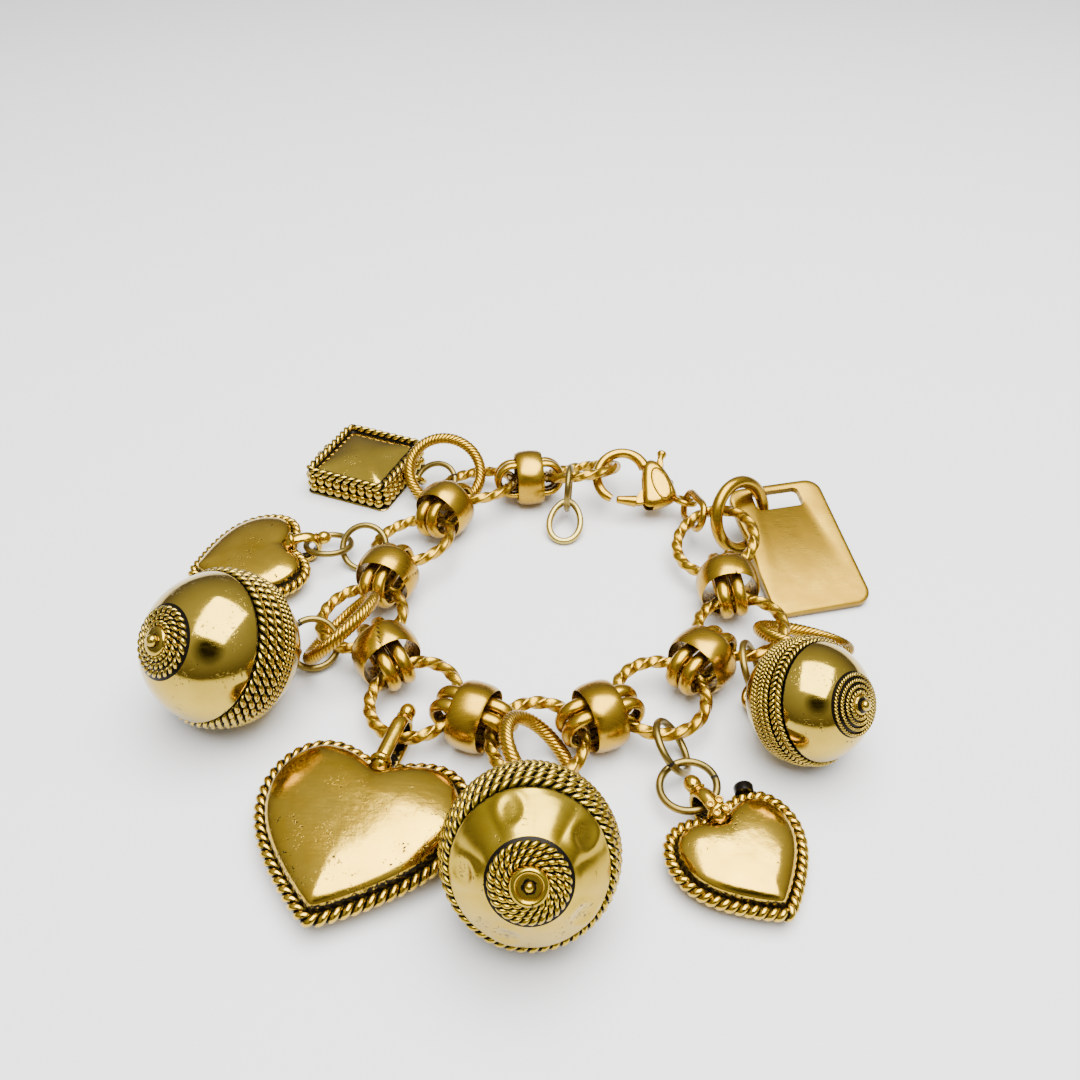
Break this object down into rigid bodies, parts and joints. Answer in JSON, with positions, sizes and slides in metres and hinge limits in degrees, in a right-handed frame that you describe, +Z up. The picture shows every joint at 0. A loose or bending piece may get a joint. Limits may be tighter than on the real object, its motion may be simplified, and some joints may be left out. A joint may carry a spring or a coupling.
{
  "type": "charm bracelet",
  "caption": "Charm bracelet laid in a loop: twisted rings joined by banded oval links, a lobster clasp, ball, heart and square charms and a plate tag.",
  "frame": {"origin": "centre of the bracelet's bounding box, on the surface it lies on", "axes": "+Z up from the surface; +Y toward the clasp's side of the loop; +X toward the plate tag"},
  "size_m": [0.11, 0.107, 0.0218],
  "materials": {
    "satin_gold": "satin antique gold tone",
    "polished_gold": "polished pale gold tone with black antiquing in the recesses",
    "dull_brass": "dull antique brass"
  },
  "bodies": {
    "bracelet": {"twisted_ring_1": "satin_gold", "twisted_ring_2": "satin_gold", "twisted_ring_3": "satin_gold", "twisted_ring_4": "satin_gold", "twisted_ring_5": "satin_gold", "twisted_ring_6": "satin_gold", "twisted_ring_7": "satin_gold", "twisted_ring_8": "satin_gold", "twisted_ring_9": "satin_gold", "barrel_band_1": "satin_gold", "barrel_band_2": "satin_gold", "barrel_band_3": "satin_gold", "barrel_band_4": "satin_gold", "barrel_band_5": "satin_gold", "barrel_band_6": "satin_gold", "barrel_band_7": "satin_gold", "barrel_band_8": "satin_gold", "link_loop_1_a": "satin_gold", "link_loop_1_b": "satin_gold", "link_loop_2_a": "satin_gold", "link_loop_2_b": "satin_gold", "link_loop_3_a": "satin_gold", "link_loop_3_b": "satin_gold", "link_loop_4_a": "satin_gold", "link_loop_4_b": "satin_gold", "link_loop_5_a": "satin_gold", "link_loop_5_b": "satin_gold", "link_loop_6_a": "satin_gold", "link_loop_6_b": "satin_gold", "link_loop_7_a": "satin_gold", "link_loop_7_b": "satin_gold", "link_loop_8_a": "satin_gold", "link_loop_8_b": "satin_gold", "clasp_body": "satin_gold", "clasp_link": "satin_gold", "thick_ring": "satin_gold", "plate_tag": "satin_gold", "square_charm": "polished_gold", "square_jump_ring": "dull_brass", "square_cable_ring": "satin_gold", "left_heart": "polished_gold", "left_heart_jump_ring_1": "dull_brass", "left_heart_jump_ring_2": "dull_brass", "left_ball": "polished_gold", "left_ball_jump_ring": "dull_brass", "left_ball_cable_ring": "satin_gold", "large_heart": "polished_gold", "front_ball": "polished_gold", "front_ball_jump_ring": "dull_brass", "front_ball_cable_ring": "satin_gold", "right_heart": "polished_gold", "right_heart_jump_ring_1": "dull_brass", "right_heart_jump_ring_2": "dull_brass", "small_ball": "polished_gold", "small_ball_jump_ring": "dull_brass", "small_ball_cable_ring": "satin_gold", "drop_charm": "polished_gold", "drop_charm_jump_ring": "dull_brass"},
    "clasp_lever": {"clasp_lever": "satin_gold"}
  },
  "joints": [
    {"name": "clasp_lever_swing", "type": "hinge", "parent": "bracelet", "child": "clasp_lever", "pos_m": [0.02256, 0.03318, 0.00513], "axis": [0, 0.4512, -0.8924], "range_deg": [0, 28], "stiffness_Nm_per_rad": 0.002, "springref_deg": -11.46}
  ]
}
